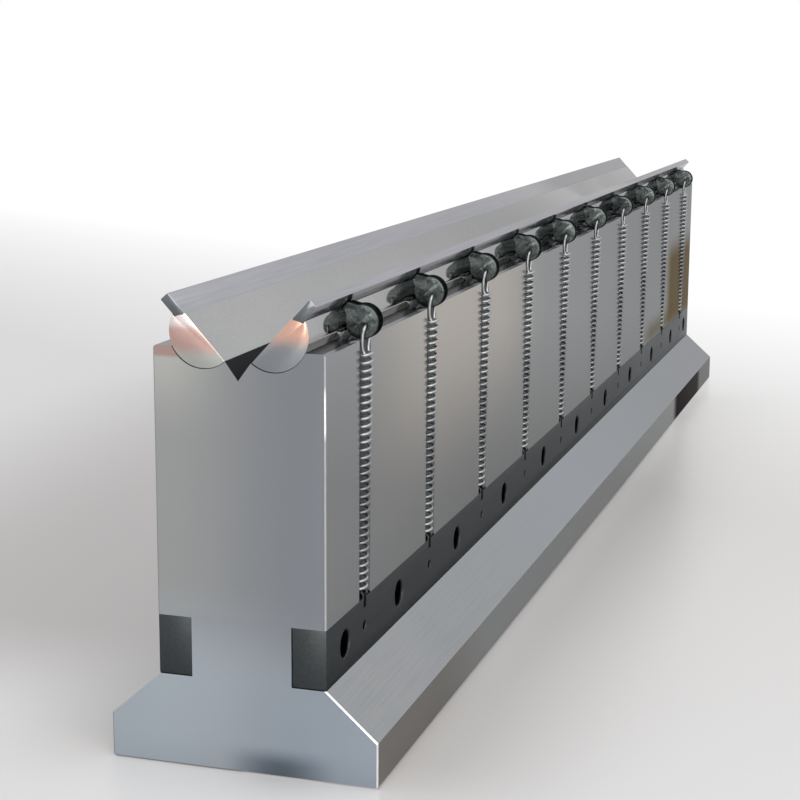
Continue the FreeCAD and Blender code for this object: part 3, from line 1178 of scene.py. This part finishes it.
# ---------------------------------------------------------------- studio


@dataclass(frozen=True)
class SoftBox:
    """A lamp with its place and size in metres and its power in watts."""

    name: str
    place: tuple[float, float, float]
    size: tuple[float, float]
    power: float
    colour: str


@dataclass
class Studio:
    """Pale floor, soft light and the camera. Angles are in radians, and floor distances in metres."""

    camera_place: Vector = field(default_factory=lambda: point(137.3, -581.2, 150.1))
    yaw: float = 0.3015
    pitch: float = 0.1932
    roll: float = 0.0057
    lens: float = 80.86
    sensor: float = 36.0
    aim: Vector = field(default_factory=lambda: point(0.0, 0.0, 50.0))
    soft_boxes: tuple[SoftBox, ...] = (
        SoftBox("key", (0.7, -1.5, 0.62), (2.8, 1.1), 30.0, "#fff9f2"),
        SoftBox("top", (0.5, 0.3, 1.5), (1.0, 1.0), 3.0, "#ffffff"),
        SoftBox("fill", (-1.2, -0.9, 0.8), (1.0, 1.0), 2.0, "#f2f7ff"),
    )
    room_light: float = 0.61
    floor_size: float = 12.0
    floor_drop: float = 0.05
    ring_fade: tuple[float, float] = (0.7, 1.8)
    back_fade: tuple[float, float] = (0.05, 0.5)
    back_way: tuple[float, float, float] = (0.6, 1.0, 0.0)
    # Painted shadows on the floor: a darker zone left of the die and a soft halo round the foot.
    floor_painted_shadows: tuple[Tint, ...] = (
        Tint("#aca7a5", 0.8, x=(-190.0, -20.0, 70.0), y=(-205.0, 180.0, 40.0)),
        Tint("#aaa7a5", 0.6, x=(-46.0, 46.0, 34.0), y=(-250.0, 210.0, 20.0)),
    )

    def build(self) -> None:
        """Makes the floor, the lamps, the world and the camera."""
        self._floor()
        self._world()
        for box in self.soft_boxes:
            self._lamp(box)
        self._camera()
        bpy.context.scene.view_settings.view_transform = "Standard"
        LOG.info("studio set")

    def _floor(self) -> None:
        """A wide pale floor with a soft gloss and painted shadows, fading to white far away."""
        deselect()
        bpy.ops.mesh.primitive_plane_add(size=self.floor_size, location=point(0, 0, -self.floor_drop))
        floor = bpy.context.active_object
        floor.name = "studio_floor"
        apply_place(floor)
        material = bpy.data.materials.new("pale_sealed_floor")
        material.use_nodes = True
        tree = material.node_tree
        tree.nodes.clear()
        place = add_node(tree, "ShaderNodeTexCoord").outputs["Object"]
        reach = add_node(tree, "ShaderNodeVectorMath", {0: place}, operation="LENGTH").outputs["Value"]
        back = add_node(tree, "ShaderNodeVectorMath", {0: place, 1: self.back_way}, operation="DOT_PRODUCT")
        fades = ((reach, self.ring_fade), (back.outputs["Value"], self.back_fade))
        ring, rise = (
            add_node(tree, "ShaderNodeMapRange", {"Value": value, 1: near, 2: far}).outputs[0]
            for value, (near, far) in fades
        )
        far = add_node(tree, "ShaderNodeMath", {0: ring, 1: rise}, operation="MAXIMUM").outputs[0]
        cloud = add_node(tree, "ShaderNodeTexNoise", {"Vector": place, "Scale": 1.5, "Detail": 1.0}).outputs["Fac"]
        colour = ramp(tree, cloud, [(0.35, "#dddad8"), (0.7, "#e5e4e4")])
        rough = add_node(tree, "ShaderNodeMapRange", {"Value": cloud, 3: 0.28, 4: 0.32}).outputs[0]
        look: Look = (colour, rough, (1.0, 1.0, 1.0, 1.0))
        for painted_shadow in self.floor_painted_shadows:
            look = painted_shadow.lay(tree, look)
        colour, rough, _ = look
        shader = add_node(
            tree,
            "ShaderNodeBsdfPrincipled",
            {"Base Color": colour, "Roughness": rough, "Specular IOR Level": 0.35},
        ).outputs[0]
        glow = add_node(tree, "ShaderNodeEmission", {"Color": (1, 1, 1, 1), "Strength": 1.0}).outputs[0]
        mixed = add_node(tree, "ShaderNodeMixShader", {0: far, 1: shader, 2: glow}).outputs[0]
        add_node(tree, "ShaderNodeOutputMaterial", {"Surface": mixed})
        floor.data.materials.append(material)

    def _world(self) -> None:
        """White behind the die, and soft even light from all round."""
        world = bpy.data.worlds.new("soft_room")
        bpy.context.scene.world = world
        world.use_nodes = True
        tree = world.node_tree
        tree.nodes.clear()
        rays = add_node(tree, "ShaderNodeLightPath").outputs
        seen = rays["Is Camera Ray"]
        for kind in ("Is Transmission Ray", "Is Glossy Ray"):
            seen = add_node(tree, "ShaderNodeMath", {0: seen, 1: rays[kind]}, operation="MAXIMUM").outputs[0]
        room = {"Color": linear("#eef1f5"), "Strength": self.room_light}
        light = add_node(tree, "ShaderNodeBackground", room).outputs[0]
        white = add_node(tree, "ShaderNodeBackground", {"Color": (1, 1, 1, 1), "Strength": 1.0}).outputs[0]
        both = add_node(tree, "ShaderNodeMixShader", {0: seen, 1: light, 2: white}).outputs[0]
        add_node(tree, "ShaderNodeOutputWorld", {"Surface": both})

    def _lamp(self, box: SoftBox) -> None:
        """A soft box that looks at the die."""
        data = bpy.data.lights.new(box.name, "AREA")
        data.shape = "RECTANGLE"
        data.size, data.size_y = box.size
        data.energy = box.power
        data.color = linear(box.colour)[:3]
        lamp = bpy.data.objects.new(box.name, data)
        bpy.context.scene.collection.objects.link(lamp)
        lamp.location = box.place
        lamp.visible_camera = False
        lamp.rotation_euler = (self.aim - Vector(box.place)).to_track_quat("-Z", "Y").to_euler()

    def _camera(self) -> None:
        """The camera, turned by yaw, pitch and roll."""
        ahead = math.cos(self.pitch)
        forward = Vector((-math.sin(self.yaw) * ahead, math.cos(self.yaw) * ahead, -math.sin(self.pitch)))
        level = Vector((math.cos(self.yaw), math.sin(self.yaw), 0.0))
        upright = level.cross(forward)
        right = level * math.cos(self.roll) + upright * math.sin(self.roll)
        up = upright * math.cos(self.roll) - level * math.sin(self.roll)
        data = bpy.data.cameras.new("main_camera")
        data.lens = self.lens
        data.sensor_width = self.sensor
        camera = bpy.data.objects.new("main_camera", data)
        bpy.context.scene.collection.objects.link(camera)
        basis = Matrix((right, up, -forward)).transposed().to_4x4()
        camera.matrix_world = Matrix.Translation(self.camera_place) @ basis
        bpy.context.scene.camera = camera


def main() -> None:
    """Builds the die and the studio in order."""
    logging.basicConfig(level=logging.INFO)
    ground = Dressing(GROUND_STEEL.build(), "ground_steel")
    polished = Dressing(POLISHED_BAR.build(), "polished_roller_steel")
    wing = Dressing(WING_STEEL.build(), "wing_steel")
    lever = Dressing(LEVER_STEEL.build(), "dark_lever_steel", LEVER_EDGE.build())
    pin = Dressing(PIN_STEEL.build(), "pin_steel")
    strip = Dressing(BLACKENED_BAR.build(), "blackened_strip")
    screw = Dressing(BLACK_SCREW.build(), "black_oxide_screws")
    wire = Dressing(SPRING_WIRE.build(), "spring_wire")
    DieBody(ground).build()
    for side in Side:
        roller = RollerSet(side, polished, wing, lever, pin)
        roller.build()
        SpringRow(side, wire, roller).build()
        AnchorStrip(side, strip, screw, pin).build()
    Studio().build()


if __name__ == "__main__":
    main()
